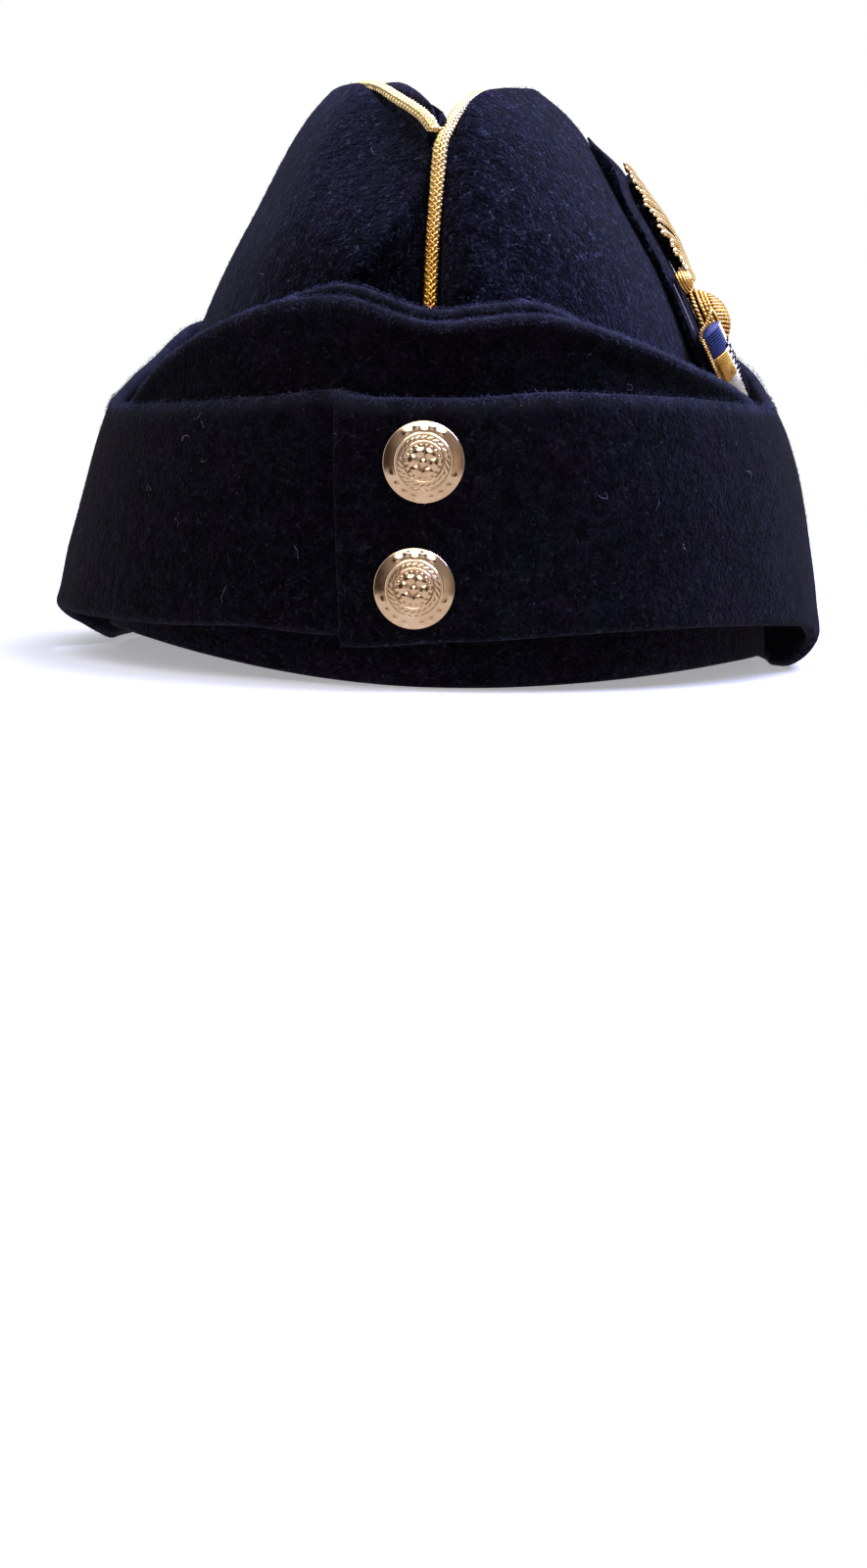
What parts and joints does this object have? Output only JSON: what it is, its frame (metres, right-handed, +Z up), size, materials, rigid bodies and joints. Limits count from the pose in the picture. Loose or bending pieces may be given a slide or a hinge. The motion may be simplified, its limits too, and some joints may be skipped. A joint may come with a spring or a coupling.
{
  "type": "side cap",
  "caption": "Boat-shaped wool side cap with a deep crown valley, turned-up peak, buttoned lapping curtain, metal-braid piping and an embroidered side badge.",
  "frame": {"origin": "on the surface that the cap stands on, under the centre of its box", "axes": "+Z up, -Y to the front of the cap, +X to the wearer's left, where the badge is"},
  "size_m": [0.1885, 0.2218, 0.1317],
  "materials": {
    "navy_wool": "matt milled wool with short nap",
    "gilt_braid": "braided gold wire, satin",
    "button_gilt": "polished pale gilt",
    "gilt_purl": "coiled gold wire, satin",
    "blue_silk": "satin thread"
  },
  "bodies": {
    "root": {"badge_boss": "gilt_purl", "badge_edge_lower": "gilt_purl", "badge_edge_upper": "gilt_purl", "badge_knot_front": "gilt_purl", "badge_knot_rear": "gilt_purl", "badge_patch": "navy_wool", "badge_ribbon": "blue_silk", "badge_spray": "gilt_purl", "button_lower": "button_gilt", "button_upper": "button_gilt", "crown_left": "navy_wool", "crown_right": "navy_wool", "crown_top": "navy_wool", "curtain_left": "navy_wool", "curtain_right": "navy_wool", "front_peak": "navy_wool", "piping_long": "gilt_braid", "piping_short": "gilt_braid"}
  },
  "joints": []
}
